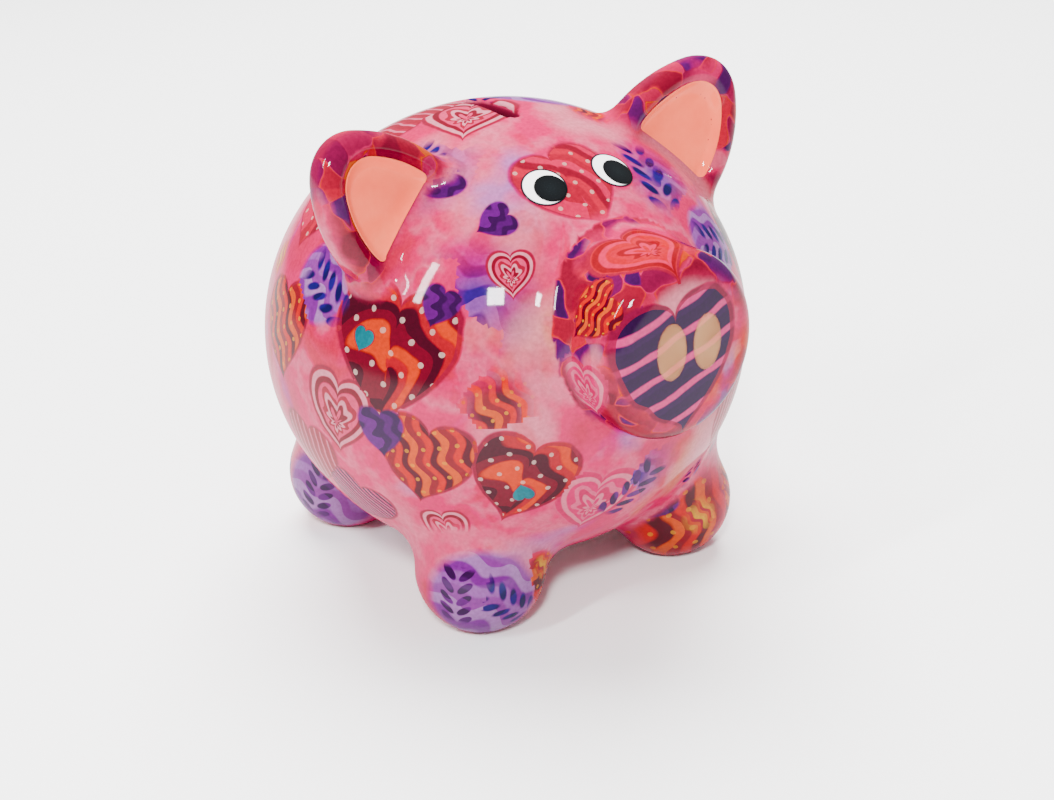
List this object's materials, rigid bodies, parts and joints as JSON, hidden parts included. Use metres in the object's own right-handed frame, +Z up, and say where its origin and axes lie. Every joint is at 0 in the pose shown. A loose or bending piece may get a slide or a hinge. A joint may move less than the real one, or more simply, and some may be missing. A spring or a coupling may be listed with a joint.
{
  "type": "piggy bank",
  "caption": "Round hollow glazed-ceramic pig that stands on short legs and stores coins dropped through a slot in its back; a soft belly stopper lets them out.",
  "frame": {"origin": "on the table, under the middle of the whole object's box", "axes": "+Z up, the pig looks along -Y, its left side is +X"},
  "size_m": [0.15, 0.1685, 0.154],
  "materials": {
    "patterned_glaze": "pink heart-patterned transfer film under clear gloss glaze on earthenware",
    "peach_glaze": "smooth peach colour in the ear cups",
    "white_transfer": "white printed transfer with a thin black outline",
    "black_transfer": "black printed transfer",
    "peach_transfer": "translucent peach printed transfer",
    "stopper_rubber": "matt moulded soft rubber, off-white"
  },
  "bodies": {
    "pig": {"body_shell": "patterned_glaze", "snout": "patterned_glaze", "left_ear": "patterned_glaze", "right_ear": "patterned_glaze", "front_left_leg": "patterned_glaze", "front_right_leg": "patterned_glaze", "rear_left_leg": "patterned_glaze", "rear_right_leg": "patterned_glaze", "tail": "patterned_glaze", "left_ear_patch": "peach_glaze", "right_ear_patch": "peach_glaze", "left_eye_white": "white_transfer", "right_eye_white": "white_transfer", "left_pupil": "black_transfer", "right_pupil": "black_transfer", "left_nostril": "peach_transfer", "right_nostril": "peach_transfer"},
    "belly_stopper": {"stopper": "stopper_rubber"}
  },
  "joints": [
    {"name": "stopper_pull", "type": "slide", "parent": "pig", "child": "belly_stopper", "axis": [0, 0, -1], "range_m": [0, 0.04]}
  ]
}
